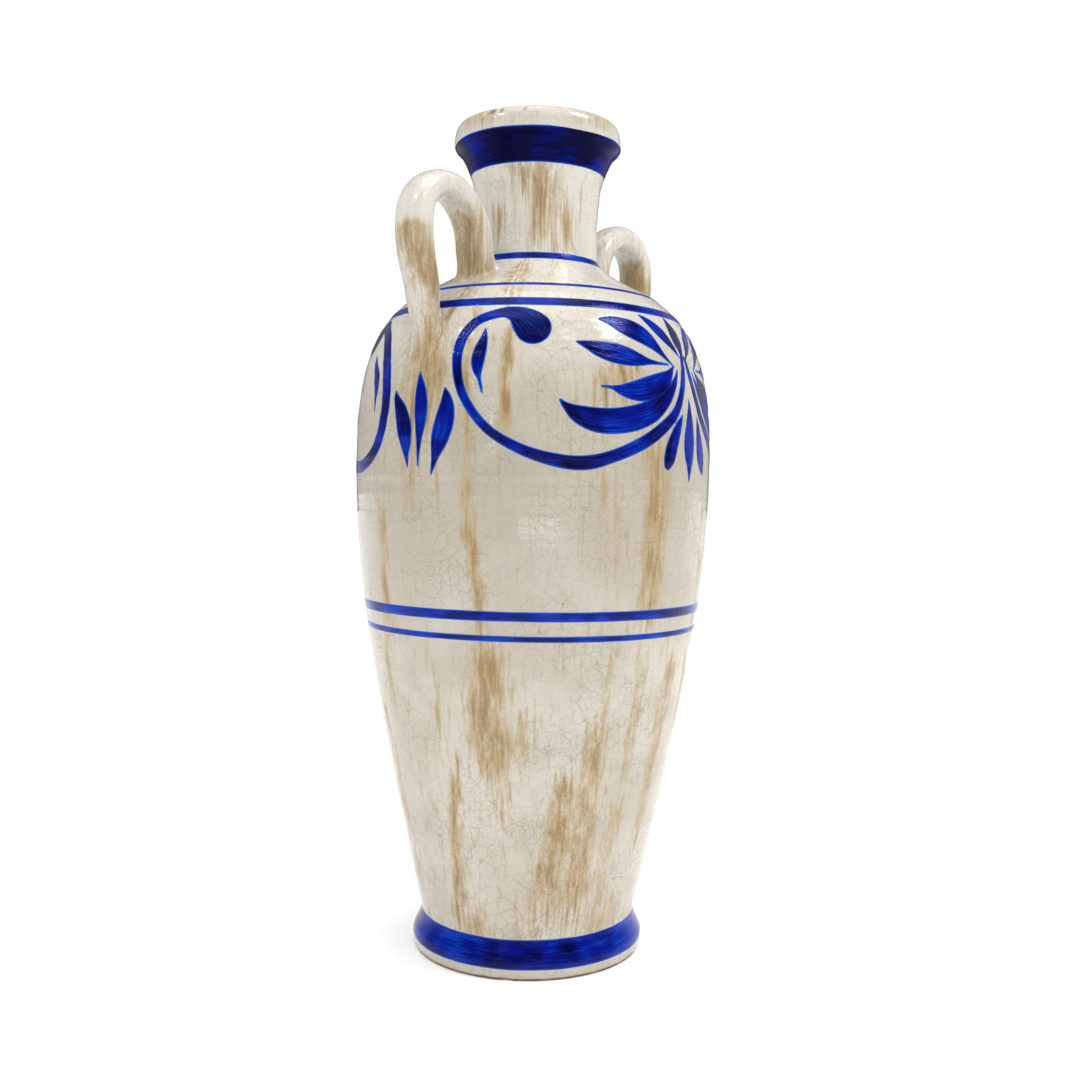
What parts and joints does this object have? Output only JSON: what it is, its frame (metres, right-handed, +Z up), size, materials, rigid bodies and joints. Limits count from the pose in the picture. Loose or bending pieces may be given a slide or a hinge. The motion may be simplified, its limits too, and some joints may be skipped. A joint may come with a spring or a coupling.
{
  "type": "two-handled pottery vase",
  "caption": "Tall tin-glazed pottery vase with a turned foot, wide belly, narrow neck, rolled lip and looped strap handles on the shoulder.",
  "frame": {"origin": "centre of the foot's resting face, on the jar's axis", "axes": "+Z up the jar's axis; handles on -X and +X; the painted front faces -Y"},
  "size_m": [0.2062, 0.194, 0.45],
  "materials": {
    "cream_glaze": "glossy aged tin glaze with fine crackle and brown wash",
    "cobalt_glaze": "glossy brushed cobalt, raised where it is thick",
    "bare_clay": "matt unglazed earthenware"
  },
  "bodies": {
    "root": {"foot_ring": "cobalt_glaze", "lower_body": "cream_glaze", "upper_body": "cream_glaze", "neck": "cream_glaze", "lip_coil": "cream_glaze", "belly_seam_coil": "bare_clay", "neck_seam_coil": "bare_clay", "handle_left": "cream_glaze", "handle_right": "cream_glaze", "handle_left_luting": "cream_glaze", "handle_right_luting": "cream_glaze"}
  },
  "joints": []
}
